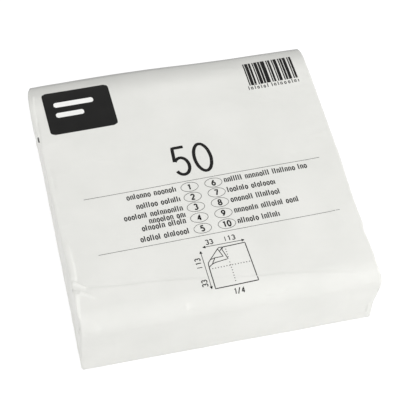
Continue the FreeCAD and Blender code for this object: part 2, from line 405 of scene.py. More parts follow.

# %% [markdown]
# One long shallow crease runs from a pinch at the left end down over the front roll to the right
# corner. At the pinch the film is drawn down into a short valley, and stands up in a ridge on each
# side of it, made bright by the light and by a painted highlight. A thin ridge of spare film
# follows the left edge.

# %% Folds of the top
fold("top", [(-76.4, -60.1), (-60.5, -62.0), (-42.1, -63.2), (-17.9, -65.9), (4, -69.2)], 0.9, 0.42,
     fade=(0.04, 0.35), other_width=9.0, power=1.2)
fold("top", [(-4, -68.4), (18.1, -71.1), (33.5, -72.7), (44.4, -74.2), (67.5, -77.8), (77, -79.6)],
     0.8, 0.42, fade=(0.25, 0.12), other_width=6.0, power=1.2)
fold("top", [(-86, -58.6), (-82, -59.0), (-77.6, -60.3)], 2.6, -1.3,
     fade=(0, 1.0), other_width=3.2, power=1, narrowing=0.7)
fold("top", [(-82.6, -54.6), (-79.2, -57.2), (-75.6, -60.0)], 1.2, 1.0,
     fade=(0.06, 0.25), other_width=2.2, power=1, narrowing=0.45, paints_highlight=0.7)
fold("top", [(-80.4, -61.2), (-76.4, -63.6), (-71.4, -67.8)], 1.2, 0.75,
     fade=(0.06, 0.5), other_width=1.8, power=1, narrowing=0.3, paints_highlight=0.4)
fold("top", [(-82.4, -26), (-81.9, -33.2), (-81.9, -42.1), (-81.9, -51.9), (-81.8, -55.0)],
     2.4, 1.0, fade=(0.3, 0.12), other_width=2.6, power=1, crown=2)
fold("top", [(-80.6, -30), (-80.2, -38), (-79.9, -45), (-80.4, -52), (-81.2, -55.4)], 0.8, 0.2,
     fade=(0.6, 0.08), power=1, paints_highlight=0.45)
fold("top", [(-82.3, -61.5), (-83.0, -67), (-83.4, -72), (-83.6, -77.5), (-83.6, -81)], 2.4, 0.95,
     fade=(0.08, 0.3), other_width=1.2, power=1, narrowing=0.5, paints_highlight=0.5)
fold("top", [(-81.0, 76.5), (-82.2, 69), (-82.7, 62), (-82.8, 56), (-83.6, 52)], 0.9, 0.5,
     fade=(0.1, 0.2), paints_highlight=0.45)
fold("top", [(-82.0, 58), (-82.3, 51), (-82.4, 46), (-82.9, 41), (-83.4, 36)], 0.9, -0.6,
     fade=(0.15, 0.2))
fold("top", [(-78.6, 76), (-77.8, 64), (-78.4, 50)], 2.2, -0.35, fade=(0.3, 0.4))
fold("top", [(-52, 78.6), (-45, 80.2), (-38, 80.4), (-31, 79.4)], 1.2, -0.35)
fold("top", [(-47, 77.2), (-41, 78.4), (-36, 78.2)], 1.2, 0.3)
fold("top", [(-83.6, 4), (-82.8, -2), (-82.2, -9)], 1.6, 0.6)
fold("top", [(-81.4, 24), (-80.6, 14), (-80.8, 4)], 2.0, -0.3)

for start, stop, height in (
    ((30, 60), (60, 40), 0.36), ((38, 66), (70, 46), -0.32), ((-4, 34), (14, 2), 0.22),
    ((56, 8), (66, -4), -0.36), ((-22, 70), (-21, 58), -0.34), ((-60, 26), (-40, 16), 0.28),
    ((-64, -20), (-52, -44), 0.28), ((66, -30), (74, -52), 0.34), ((20, 76), (52, 70), 0.30),
    ((-30, -20), (-14, -50), 0.22), ((34, 20), (44, 2), 0.24), ((-10, 74), (10, 62), 0.26),
):
    middle = ((start[0] + stop[0]) / 2 + 0.8, (start[1] + stop[1]) / 2 + 0.8)
    fold("top", [start, middle, stop], 2.6, height, fade=(0.4, 0.4), power=2)

swell("top", (50, -57), (12, 9), -0.16)
fold("top", [(57, -63.4), (59.5, -63.2), (61.0, -61)], 1.2, -0.14)
swell("top", (-40, 50), (40, 30), -0.18)
swell("top", (10, -20), (60, 30), 0.18)
print("greatest fold of the top:", round(np.abs(lift).max(), 2), "mm")

# %% [markdown]
# The front shows a dimple, a few short marks where the film has been knocked, a soft bulge at the
# left corner, and sharp little creases at the right one. The notch under the left corner is the
# gap that the folded end leaves there.

# %% Folds of the front and the corners
fold("top", [(-25.4, -77.6), (-25.0, -79.6), (-24.6, -81.4)], 1.1, 0.5,
     fade=(0.3, 0.3), paints_highlight=0.5)
fold("front", [(-23.4, 39.6), (-22.6, 38.4)], 1.2, -0.5, fade=(0.2, 0.2))
fold("front", [(16.2, 38.8), (19.2, 39.2), (22.0, 39.0)], 1.1, -0.32)
fold("front", [(26.6, 40.2), (28.8, 40.4), (31.0, 40.0)], 1.0, -0.26)
fold("front", [(71.0, 24.6), (74.4, 24.9), (77.6, 24.6)], 1.0, -0.3)
fold("front", [(79.8, 17), (79.5, 11), (79.9, 4)], 0.9, 0.6, fade=(0.25, 0.25), paints_highlight=0.4)
fold("front", [(81.4, 17), (81.7, 12), (81.2, 6)], 0.9, -0.4, fade=(0.3, 0.3))
fold("front", [(81.6, 31), (82.6, 29), (83.4, 26)], 1.0, -0.6, fade=(0.3, 0.3))
fold("right", [(-78.4, 44.0), (-79.0, 41.5), (-79.4, 38.0)], 1.1, -0.7, fade=(0.1, 0.3))
fold("left", [(-79.6, 39.0), (-77.6, 33.0), (-75.4, 25.0)], 1.5, -2.8, fade=(0.1, 0.2), power=1)
fold("left", [(-79.2, 34.0), (-78.8, 31.0)], 1.0, 0.6, fade=(0.3, 0.3))
swell("front", (-77.4, 37.5), (5.5, 5.0), 0.6)
swell("front", (-50, 22), (34, 20), 0.25)
swell("front", (40, 20), (44, 22), 0.3)
swell("front", (72, 36), (14, 9), 0.35)

for x, top, foot, height in (
    (-66, 30, 4, 0.14), (-38, 26, 2, -0.12), (-8, 34, 6, 0.10), (12, 22, 1, 0.14),
    (34, 30, 4, -0.12), (52, 26, 3, 0.14), (66, 34, 6, -0.14),
):
    fold("front", [(x, top), (x + 1.2, (top + foot) / 2), (x + 0.4, foot)], 3.4, height, power=2)
print("greatest fold so far:", round(np.abs(lift).max(), 2), "mm")

# %% [markdown]
# The ends, the back and the base don't show in the photograph, so they have what such packs have.
# Where the film is folded in it puckers, in short creases that run in from the ends. The tube's
# long seam is a flat welded band pressed into the base, with a few ribs.

# %% Folds round the ends, on the back and on the base
BACK_CREASES = (
    (-70, 38, -62, 8, 0.3), (-34, 40, -38, 20, -0.3), (-6, 30, 4, 4, 0.25), (30, 40, 26, 16, 0.3),
    (58, 36, 66, 8, -0.3), (74, 30, 70, 6, 0.3), (-78, 28, -76, 5, -0.3),
)
for x_top, top, x_foot, foot, height in BACK_CREASES:
    halfway = ((x_top + x_foot) / 2 + 1, (top + foot) / 2)
    fold("back", [(x_top, top), halfway, (x_foot, foot)], 2.6, height)

PUCKER_PITCH = 9.0
PUCKER_LENGTH = 17.0


def pucker(side, along, height):
    """Short creases that run in from both ends of a side, uneven in place and length."""
    for end in (-1, 1):
        for number in range(round((along[1] - along[0]) / PUCKER_PITCH)):
            uneven = noise.noise(Vector((end * 7.3, number * 1.7, height * 11)))
            place = along[0] + (number + 0.5 + 0.7 * uneven) * PUCKER_PITCH
            length = PUCKER_LENGTH * (0.6 + 0.9 * abs(uneven))
            slant = 3.0 * uneven
            line = [(end * (HALF_X - 1.5), place), (end * (HALF_X - length), place + slant)]
            line.insert(1, (end * (HALF_X - length / 2), place + slant * 0.3))
            fold(side, line, 2.2, height * (1 if number % 2 else -0.7), fade=(0.1, 0.7))


pucker("top", (-48, 76), 0.16)
pucker("front", (3, 36), 0.16)
pucker("back", (4, 40), 0.3)
pucker("base", (-74, 76), 0.2)

SEAM_Y = HALF_Y - 60.0
SEAM_WIDTH = 10.0
SEAM_DEPTH = 0.3
SEAM_RIBS = 3

on_base = faces_side("base")
across_seam = smooth_film[:, 1] - SEAM_Y
band = smoothstep(SEAM_WIDTH / 2 + 1.4, SEAM_WIDTH / 2, np.abs(across_seam))
ribs = 0.5 + 0.5 * np.cos(across_seam / SEAM_WIDTH * 2 * math.pi * SEAM_RIBS)
lift -= SEAM_DEPTH * band * on_base * (1 - 0.5 * ribs)
print("seam at y =", round(SEAM_Y, 1), "mm")

# %% [markdown]
# Between its folds the film is never quite even: it follows the soft stack in slow waves a few
# centimetres long, with finer ripples towards the ends. Noise gives both. The finest crinkle is
# smaller than the grid, so it is left to the bump of the material.

# %% Slow waves and ripples
WAVES = (
    (0.22, Vector((0.022, 0.026, 0.05))),
    (0.11, Vector((0.045, 0.085, 0.12))),
)
RIPPLE_HEIGHT = 0.16
RIPPLE_SCALE = Vector((0.05, 0.22, 0.22))
BASE_TUCK = 0.12  # how far the foot of each side is drawn in


def noise_at(scale, offset):
    """Even noise, between about -1 and 1, at every point of the film."""
    return np.array([
        noise.noise(Vector((x * scale.x + offset, y * scale.y, z * scale.z)))
        for x, y, z in smooth_film
    ])


for number, (height, scale) in enumerate(WAVES):
    lift += height * noise_at(scale, 5.0 + 9 * number)
near_end = smoothstep(HALF_X - 30, HALF_X - 2, np.abs(smooth_film[:, 0]))
lift += RIPPLE_HEIGHT * near_end * noise_at(RIPPLE_SCALE, 3.0)
lift -= BASE_TUCK * (1 - smoothstep(0, 2, smooth_film[:, 2])) * (1 - on_base)
print("folds and waves run from", round(lift.min(), 2), "to", round(lift.max(), 2), "mm")

# %% [markdown]
# So far the folds are numbers, one height for each point of the film. Now each point moves out by
# its height, in the direction that the surface faces. A displacement modifier could do it, but
# moved points leave the base flat on the table, and the flaps and the print can be laid on them.
# The painted highlight of sharp folds goes along as an attribute for the film's material.

# %% Put the film's folds into its mesh
DEEPEST_BASE = 1.0


def shape_film():
    """Moves the points of the film out along their normals by the folds."""
    shaped = smooth_film + lift[:, None] * outward
    resting = on_base > 0.5
    shaped[resting, 2] = np.minimum(shaped[resting, 2], DEEPEST_BASE)
    shaped[:, 2] = np.maximum(shaped[:, 2], 0)
    film.data.vertices.foreach_set("co", (shaped * MM).astype(np.float32).ravel())
    # the painted highlight of sharp folds, kept for the film's material
    white = film.data.attributes.new("fold_highlight_paint", "FLOAT", "POINT")
    white.data.foreach_set("value", fold_highlight_paint.astype(np.float32))
    film.data.update()
    return BVHTree.FromObject(film, bpy.context.evaluated_depsgraph_get())


film_surface = shape_film()
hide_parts("napkin_pack")
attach(film, "root")
print("folded film:", len(film.data.vertices), "points")

# %% [markdown]
# In Blender a finish is a tree of nodes: textures feed numbers and colours to the shader. It can
# be drawn by hand in the shader editor. In a script, helpers that add a node and join it to
# others in one line keep it readable.

# %% Helpers for finishes
NOISE_RANGE = (0.3, 0.7)  # where nearly all of a noise texture's factor lies


def add_node(tree, kind, inputs=None, **settings):
    """A node with its settings. Each input gets a value or the output of another node."""
    node = tree.nodes.new(kind)
    for name, value in settings.items():
        setattr(node, name, value)
    for socket, value in (inputs or {}).items():
        if isinstance(value, bpy.types.NodeSocket):
            tree.links.new(value, node.inputs[socket])
        else:
            node.inputs[socket].default_value = value
    return node


def maths(tree, operation, first, second):
    """The result of one sum with two values."""
    return add_node(tree, "ShaderNodeMath", {0: first, 1: second}, operation=operation).outputs[0]


def between(tree, value, from_range, to_range, kind="LINEAR"):
    """A value carried from one range over to another."""
    inputs = dict(zip(("From Min", "From Max", "To Min", "To Max"), (*from_range, *to_range)))
    inputs["Value"] = value
    return add_node(tree, "ShaderNodeMapRange", inputs, interpolation_type=kind).outputs["Result"]


def ramp(tree, factor, stops):
    """A colour that runs through stops, each a position and a colour, in rising order."""
    node = add_node(tree, "ShaderNodeValToRGB", {"Fac": factor})
    elements = node.color_ramp.elements
    for number, (position, colour) in enumerate(stops):
        element = elements[number] if number < 2 else elements.new(position)
        element.position = position
        element.color = (*colour, 1)
    return node.outputs["Color"]


def noise_node(tree, scale, detail=3.0, stretch=(1, 1, 1)):
    """A noise texture in the object's own coordinates. scale is in features a metre."""
    place = add_node(tree, "ShaderNodeTexCoord").outputs["Object"]
    mapping = add_node(tree, "ShaderNodeMapping", {"Vector": place, "Scale": stretch})
    inputs = {"Vector": mapping.outputs["Vector"], "Scale": scale, "Detail": detail}
    return add_node(tree, "ShaderNodeTexNoise", inputs).outputs["Fac"]


def mixed_colour(tree, factor, first, second):
    """A colour between two, by a texture's factor."""
    return ramp(tree, factor, zip(NOISE_RANGE, (first, second)))


def add_bump(tree, shader, height, distance, strength):
    """Puts a bump of a given height in metres before those that the shader already has."""
    inputs = {"Height": height, "Distance": distance, "Strength": strength}
    if shader.inputs["Normal"].links:
        inputs["Normal"] = shader.inputs["Normal"].links[0].from_socket
    bump = add_node(tree, "ShaderNodeBump", inputs)
    tree.links.new(bump.outputs["Normal"], shader.inputs["Normal"])


def new_material(name):
    """A material with a node tree, and its shader."""
    material = bpy.data.materials.new(name)
    material.use_nodes = True
    print("new finish:", name)
    return material, material.node_tree, material.node_tree.nodes["Principled BSDF"]


# %% [markdown]
# The film is thin, white and satin: the grain of the tissue shows through as a faint unevenness
# of colour, and a fine crinkle catches the light. Shade is painted into its colour along the back,
# where it stands off the tissue, darkest on the roll there, and a highlight is painted on sharp
# folds. An image would fix all that at one size, so noise textures and the film's own coordinates
# do it.

# %% The film's material
FILM_COLOURS = (0.770, 0.772, 0.737), (0.822, 0.821, 0.787)
FILM_ROUGHNESS = (0.42, 0.56)
# colour of the painted highlight on sharp folds
FOLD_HIGHLIGHT_COLOUR = (0.95, 0.95, 0.91)
# Painted shade along the back edge, darkest on the roll there, where the film also stands off the
# tissue.
BACK_PAINTED_SHADE = 0.71
BACK_SHADE_Y = (0.0640, 0.0855)  # in metres, where the painted shade begins and where it is full
ROLL_PAINTED_SHADE = 0.30
ROLL_SHADE_Y = (0.079, 0.083)
ROLL_SHADE_FACING = (0.15, 0.45, 0.82, 0.95)  # how far up the film faces where the painted shade comes and goes
MIX_FIRST, MIX_SECOND, MIX_RESULT = 6, 7, 2  # the colour sockets of a Mix node


def painted_shade_at_back(tree, colour):
    """The film's colour with painted shade: greyer along the back edge, and darkest on its roll,
    seen edge on.
    """
    place = add_node(tree, "ShaderNodeTexCoord").outputs["Object"]
    y = add_node(tree, "ShaderNodeSeparateXYZ", {"Vector": place}).outputs["Y"]
    facing = add_node(tree, "ShaderNodeNewGeometry").outputs["Normal"]
    facing_up = add_node(tree, "ShaderNodeSeparateXYZ", {"Vector": facing}).outputs["Z"]
    black, white = (0, 0, 0), (1, 1, 1)
    shaded_roll_share = ramp(tree, facing_up, zip(ROLL_SHADE_FACING, (black, white, white, black)))
    # painted shade on the back roll, by how far up the film faces
    dark = maths(tree, "MULTIPLY", shaded_roll_share, between(tree, y, ROLL_SHADE_Y, (0, ROLL_PAINTED_SHADE)))
    # painted shade along the back edge
    grey = between(tree, y, BACK_SHADE_Y, (1, BACK_PAINTED_SHADE), "SMOOTHSTEP")
    inputs = {"Vector": colour, "Scale": maths(tree, "SUBTRACT", grey, dark)}
    return add_node(tree, "ShaderNodeVectorMath", inputs, operation="SCALE").outputs["Vector"]


def painted_fold_highlight(tree, colour):
    """The film's colour with a painted highlight along its sharpest creases."""
    # painted highlight: the colour is mixed towards white by each point's share of it
    crease = add_node(tree, "ShaderNodeAttribute", attribute_name="fold_highlight_paint").outputs["Fac"]
    inputs = {"Factor": crease, MIX_FIRST: colour, MIX_SECOND: (*FOLD_HIGHLIGHT_COLOUR, 1)}
    return add_node(tree, "ShaderNodeMix", inputs, data_type="RGBA").outputs[MIX_RESULT]


def film_material():
    """Thin white satin film over tissue."""
    material, tree, shader = new_material("white_film")
    colour = mixed_colour(tree, noise_node(tree, 34, 4), *FILM_COLOURS)
    # painted shade at the back, and a painted highlight on sharp folds
    colour = painted_fold_highlight(tree, painted_shade_at_back(tree, colour))
    roughness = between(tree, noise_node(tree, 60, 2), NOISE_RANGE, FILM_ROUGHNESS)
    tree.links.new(colour, shader.inputs["Base Color"])
    tree.links.new(roughness, shader.inputs["Roughness"])
    shader.inputs["Specular IOR Level"].default_value = 0.35
    shader.inputs["Coat Weight"].default_value = 0.25
    shader.inputs["Coat Roughness"].default_value = 0.22
    add_bump(tree, shader, noise_node(tree, 1500, 2), 0.00002, 0.5)
    add_bump(tree, shader, noise_node(tree, 170, 3, (1, 1.6, 1.6)), 0.0002, 0.4)
    return material


white_film = film_material()
film.data.materials.append(white_film)

# %% [markdown]
# Each end is closed like an envelope. The side tucks are part of the skin. Over them the bottom
# flap comes up and the top flap comes down, both with slanted sides, and the top one is welded
# near its free edge. A simulation could fold them, but thin closed sheets laid on the skin with
# ray casts follow its unevenness, and show the edge of what lies under them.

# %% The skin of the ends
DEEPEST_END = 5.0  # a ray that finds the film further in than this has missed the end


def skin_x(side, y, z):
    """Where the skin of an end is, looking in along X from outside."""
    start = Vector((side * (HALF_X + 20), y, z)) * MM
    hit = film_surface.ray_cast(start, Vector((-side, 0, 0)))[0]
    flat = HALF_X - END_HOLLOW
    return hit.x / MM * side if hit and hit.x / MM * side > flat - DEEPEST_END else flat


def top_edge(side, y):
    """Height of the film's top just inside an end."""
    start = Vector((side * (HALF_X - 2.5), y, HEIGHT + 20)) * MM
    hit = film_surface.ray_cast(start, Vector((0, 0, -1)))[0]
    return hit.z / MM if hit else HEIGHT


print("right end at mid height: x =", round(skin_x(1, 0, HEIGHT / 2), 1), "mm")

# %% The end flaps
FLAP_LENGTH = 30.0
FILM_GAP = 0.16
SHEET = 0.12
SUNK = 0.12  # how deep the fold line and the inner face lie in the skin
FOLD_INSET = 0.9  # from the top or the base to a fold line
CORNER_GAP = 2.0  # from the end of a fold line to the corner of the pack
FLAP_STEP = 1.2
LOOSE_SIDE, LOOSE_FREE = 2.2, 2.0  # how far in from its edges a flap stands loose
EDGE_LIFT, EDGE_WAVE = 0.10, 0.3
BUCKLE, WRINKLE = 0.28, 0.12
WANDER = 0.35  # how uneven the free edge is
WELD_INSET = 3.0
WELD_PITCH = 2.2
WELD_COUNT = 4
WELD_PRESS = 0.22
WELD_HALF = 0.8


def flap_lift(y, down, edge, over):
    """How far a flap stands off the skin: fold line, flap below it, loose edges and welds."""
    free = FLAP_LENGTH - down
    stand = -SUNK + (FILM_GAP + SUNK) * smoothstep(0, 2.5, down)
    if over:
        height = HEIGHT - down
        under = smoothstep(-0.6, 0.6, HALF_Y - 1.5 - height - abs(y))
        under *= smoothstep(0, 2, FLAP_LENGTH - height)
        stand += (FILM_GAP + SHEET) * under
    loose = 0.5 * np.exp(-edge / LOOSE_SIDE) + np.exp(-free / LOOSE_FREE)
    wave = noise.noise(Vector((y * 0.09, down * 0.13, 4.0 if over else 8.0)))
    fine = noise.noise(Vector((y * 0.28, down * 0.10, 1.0 if over else 2.0)))
    wave, fine = max(0.0, wave), max(0.0, fine)
    stand += loose * (EDGE_LIFT + EDGE_WAVE * wave) * smoothstep(0, 6, down)
    stand += (BUCKLE * wave + WRINKLE * fine) * smoothstep(0, 8, down)
    if over and edge > 5:
        for line in range(WELD_COUNT):
            from_line = abs(free - WELD_INSET - line * WELD_PITCH)
            stand -= WELD_PRESS * max(0.0, 1 - from_line / WELD_HALF)
    return stand


def rim_of(grid):
    """The points round the rim of a grid, in order."""
    return np.concatenate([grid[0, :-1], grid[:-1, -1], grid[-1, :0:-1], grid[:0:-1, 0]])


def walls_below(loop, below):
    """Faces that join a loop of points to the same loop on a layer below."""
    return np.stack([loop, np.roll(loop, -1), np.roll(loop, -1) + below, loop + below], -1)


def add_flap(name, side, over):
    """One flap, a closed sheet: from the top edge down if it is over, else from the base up."""
    rows = spaced((0, 3, 0.5), (3, FLAP_LENGTH - 11, 1.0), (FLAP_LENGTH - 11, FLAP_LENGTH, 0.36))
    columns = round(2 * HALF_Y / FLAP_STEP)
    outer, inner = [], []
    for down in rows:
        back_edge = HALF_Y - CORNER_GAP - down
        front_edge = min(back_edge, HALF_Y - FRONT_ROLL + 4.0 + down) if over else back_edge
        for share in np.linspace(0, 1, columns + 1):
            y = -front_edge + share * (front_edge + back_edge)
            edge = min(share, 1 - share) * (front_edge + back_edge)
            if over:
                fold_line = top_edge(side, y) - FOLD_INSET
                free_edge = HEIGHT - FOLD_INSET - FLAP_LENGTH
                z = fold_line + (free_edge - fold_line) * down / FLAP_LENGTH
            else:
                z = FOLD_INSET + down
            wander = WANDER * noise.noise(Vector((share * 9, down * 0.2, side * 3.0)))
            z += wander * smoothstep(FLAP_LENGTH - 3, FLAP_LENGTH, down)
            skin = skin_x(side, y, z)
            outer.append((side * (skin + flap_lift(y, down, edge, over)), y, z))
            inner.append((side * (skin - SHEET - SUNK), y, z))
    outer, inner = np.array(outer), np.array(inner)
    grid = np.arange(len(outer)).reshape(len(rows), columns + 1)
    quads = grid_faces(grid)
    walls = walls_below(rim_of(grid), len(outer))
    faces = np.concatenate([quads, quads[:, ::-1] + len(outer), walls])
    if (side > 0) != over:
        faces = faces[:, ::-1]
    flap = make_object(name, np.concatenate([outer, inner]), faces, white_film)
    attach(flap, "root")
    return flap


for side, word in ((-1, "left"), (1, "right")):
    for over, which in ((False, "bottom"), (True, "top")):
        flap = add_flap(f"{word}_{which}_flap", side, over)
        print(flap.name, len(flap.data.vertices), "points")

# %% [markdown]
# The print on the top is one dark ink, put on a little askew. It could be a picture on the film,
# but shapes stay sharp at any distance. Each mark is a very thin closed slab, laid on the film by
# a ray cast straight down at every point, so it goes down into the creases with it.

# %% Laying print on the film
PRINT_TURN = math.radians(1.19)
INK_ABOVE = 0.05
INK_BELOW = 0.06
PRINT_STEP = 1.0

ink_marks = {}


def turned(points):
    """Print places turned by the small angle at which the film was put on."""
    cos, sin = math.cos(PRINT_TURN), math.sin(PRINT_TURN)
    return np.asarray(points, float) @ np.array([[cos, sin], [-sin, cos]])


def on_film(x, y):
    """Height of the film above the table at one place."""
    hit = film_surface.ray_cast(Vector((x, y, HEIGHT + 30)) * MM, Vector((0, 0, -1)))[0]
    return hit.z / MM if hit else HEIGHT


def lay(ink, rows, ring=False):
    """Adds a slab over equally long rows of places. A ring joins its last row to its first."""
    rows = np.asarray(rows, float)
    count, across, _ = rows.shape
    flat = rows.reshape(-1, 2)
    heights = np.array([on_film(x, y) for x, y in flat])
    points, faces = ink_marks.setdefault(ink, ([], []))
    start = sum(len(part) for part in points)
    points.append(np.column_stack([flat, heights + INK_ABOVE]))
    points.append(np.column_stack([flat, heights - INK_BELOW]))
    grid = np.arange(count * across).reshape(count, across)
    if ring:
        grid = np.vstack([grid, grid[:1]])
    quads = grid_faces(grid)
    loops = [grid[:-1, 0][::-1], grid[:-1, -1]] if ring else [rim_of(grid)[::-1]]
    below = count * across
    walls = [walls_below(loop, below) for loop in loops]
    whole = np.concatenate([quads, quads[:, ::-1] + below] + walls)
    run = rows[1, 0] - rows[0, 0]
    side = rows[0, -1] - rows[0, 0]
    if run[0] * side[1] - run[1] * side[0] < 0:
        whole = whole[:, ::-1]
    faces.append(whole + start)


print("film height in the middle of the top:", round(on_film(0, 0), 1), "mm")


# %% Strokes, fields and arcs
def stroke(ink, points, width, ring=False, step=PRINT_STEP):
    """A line of even width through places that are already close together or straight."""
    points = np.asarray(points, float)
    stops = np.vstack([points, points[:1]]) if ring else points
    line = []
    for start, stop in zip(stops, stops[1:]):
        count = max(1, math.ceil(np.linalg.norm(stop - start) / step))
        line += [start + (stop - start) * t for t in np.arange(count) / count]
    line = np.array(line if ring else line + [stops[-1]])
    if ring:
        ahead = np.roll(line, -1, 0) - np.roll(line, 1, 0)
    else:
        ahead = np.gradient(line, axis=0)
    ahead /= np.linalg.norm(ahead, axis=1)[:, None]
    beside_line = np.column_stack([-ahead[:, 1], ahead[:, 0]]) * width / 2
    lay(ink, np.stack([line + beside_line, line - beside_line], 1), ring)


def box_field(ink, low, high, radius=0.0):
    """A filled rectangle with round corners, in print coordinates."""
    rows = []
    for y in spaced((low[1], high[1], PRINT_STEP)):
        edge = max(radius - (y - low[1]), radius - (high[1] - y), 0)
        inset = radius - math.sqrt(max(radius**2 - edge**2, 0)) if radius else 0
        count = max(2, math.ceil((high[0] - low[0]) / PRINT_STEP))
        rows.append([(x, y) for x in np.linspace(low[0] + inset, high[0] - inset, count)])
    lay(ink, turned(rows))


def arc(centre, radii, start, stop, count=14):
    """Places on part of an ellipse, angles in degrees."""
    angles = np.radians(np.linspace(start, stop, count))
    (x, y), (wide, high) = centre, radii
    return [(x + wide * math.cos(angle), y + high * math.sin(angle)) for angle in angles]


print("strokes are laid in steps of", PRINT_STEP, "mm")

# %% [markdown]
# The back left corner carries a plain dark field with rounded corners, and two blank white bars
# on it. On the rim beside it sits a short dark mark.

# %% The dark corner field
FIELD_LOW, FIELD_HIGH = (-75.2, 46.5), (-35.5, 77.6)
FIELD_RADIUS = 2.5
box_field("dark", FIELD_LOW, FIELD_HIGH, FIELD_RADIUS)
EDGE_MARK_X = (-84.2, -83.3)
EDGE_MARK_Y = (45.2, 41.4)
edge_places = np.linspace(*EDGE_MARK_X, 5)
lay("grey", [[(x, y) for x in edge_places] for y in np.linspace(*EDGE_MARK_Y, 6)])
print("dark field", FIELD_HIGH[0] - FIELD_LOW[0], "by", FIELD_HIGH[1] - FIELD_LOW[1], "mm")

# %% [markdown]
# The number of napkins stands in the middle in tall thin figures. A font would bring its own
# file, and only a few figures are needed, so each is drawn with one to three strokes in a box one
# unit high.

# %% Figures
FIGURES = {
    "0": [arc((0.28, 0.5), (0.28, 0.5), 90, 450, 30)],
    "1": [[(0.08, 0.78), (0.30, 1.0), (0.30, 0.0)]],
    "2": [arc((0.28, 0.72), (0.28, 0.28), 165, -35) + [(0.02, 0.0), (0.58, 0.0)]],
    "3": [arc((0.27, 0.74), (0.25, 0.26), 150, -80), arc((0.27, 0.25), (0.29, 0.25), 85, -150)],
    "4": [[(0.42, 0.0), (0.42, 1.0), (0.0, 0.28), (0.58, 0.28)]],
    "5": [[(0.50, 1.0), (0.08, 1.0), (0.03, 0.50)], arc((0.26, 0.31), (0.27, 0.31), 142, -150, 20)],
    "6": [arc((0.28, 0.29), (0.27, 0.29), 90, 450, 24), [(0.02, 0.36), (0.12, 0.64), (0.42, 1.0)]],
    "7": [[(0.0, 1.0), (0.56, 1.0), (0.18, 0.0)]],
    "8": [arc((0.28, 0.75), (0.23, 0.25), 90, 450, 24),
          arc((0.28, 0.26), (0.28, 0.26), 90, 450, 24)],
    "9": [arc((0.28, 0.71), (0.27, 0.29), 90, 450, 24), [(0.54, 0.64), (0.44, 0.36), (0.14, 0.0)]],
    "/": [[(0.0, -0.05), (0.42, 1.05)]],
}


def write(ink, text, start, height, width, pitch=0.8, turn=0.0, squeeze=1.0, print_axes=True):
    """Figures from a place on, turned by an angle, in print or in pack coordinates."""
    cos, sin = math.cos(turn), math.sin(turn)
    for number, figure in enumerate(text):
        for line in FIGURES[figure]:
            line = np.array(line, float) * (squeeze, 1) + (number * pitch * squeeze, 0)
            line = line * height @ np.array([[cos, sin], [-sin, cos]]) + start
            closed = len(line) > 16 and np.allclose(line[0], line[-1], atol=0.01 * height)
            line = turned(line) if print_axes else line
            stroke(ink, line[:-1] if closed else line, width, ring=closed)


COUNT_HEIGHT = 19.3
COUNT_STROKE = 1.95
write("dark", "5", (-11.2, 3.1), COUNT_HEIGHT, COUNT_STROKE, squeeze=0.80)
write("dark", "0", (1.1, 3.1), COUNT_HEIGHT, COUNT_STROKE, squeeze=0.87)
print("count written, figures", COUNT_HEIGHT + COUNT_STROKE, "mm high")

# %% [markdown]
# Two thin rules frame the small print: eleven short lines beside two columns of numbered ovals. A
# line is a run of plain marks, upright, arched or round, in groups as long as words. Upright
# marks alone would look like a comb.

# %% Rules, ovals and lines of small print
RULE_WIDTH = 0.28
RULES_X = (-66.5, 71.5)
RULES_Y = (-1.70, -39.35)
OVAL_ROWS = (-6.0, -13.0, -20.0, -27.4, -34.7)
OVAL_COLUMNS = (-6.8, 7.1)
OVAL_RADII = (5.0, 3.1)
LEFT_LINES = (
    (-42.8, -6.0), (-38.8, -13.0), (-47.3, -19.4), (-34.2, -23.9), (-39.2, -28.0), (-41.7, -34.9),
)
RIGHT_LINES = ((63.7, -6.0), (42.5, -13.0), (42.8, -20.0), (51.5, -27.4), (39.3, -34.7))
LEFT_STOP, RIGHT_START = -13.2, 13.7
LABEL_HEIGHT = 3.5
LABEL_STROKE = 0.82
LABEL_SQUEEZE = 0.9
SMALL_HEIGHT = 2.5
TALL_HEIGHT = 3.6
MARK_WIDTH = 1.55
MARK_STROKE = 0.62

for rule_y in RULES_Y:
    stroke("grey", turned([(x, rule_y) for x in RULES_X]), RULE_WIDTH)
for row, y in enumerate(OVAL_ROWS):
    for column, x in enumerate(OVAL_COLUMNS):
        stroke("grey", turned(arc((x, y), OVAL_RADII, 0, 360, 33)[:-1]), 0.3, ring=True)
        label = str(1 + row + 5 * column)
        width = 0.8 * LABEL_HEIGHT * (len(label) - 1) * LABEL_SQUEEZE + 1.8
        corner = (x - width / 2, y - LABEL_HEIGHT / 2)
        write("dark", label, corner, LABEL_HEIGHT, LABEL_STROKE, squeeze=LABEL_SQUEEZE)


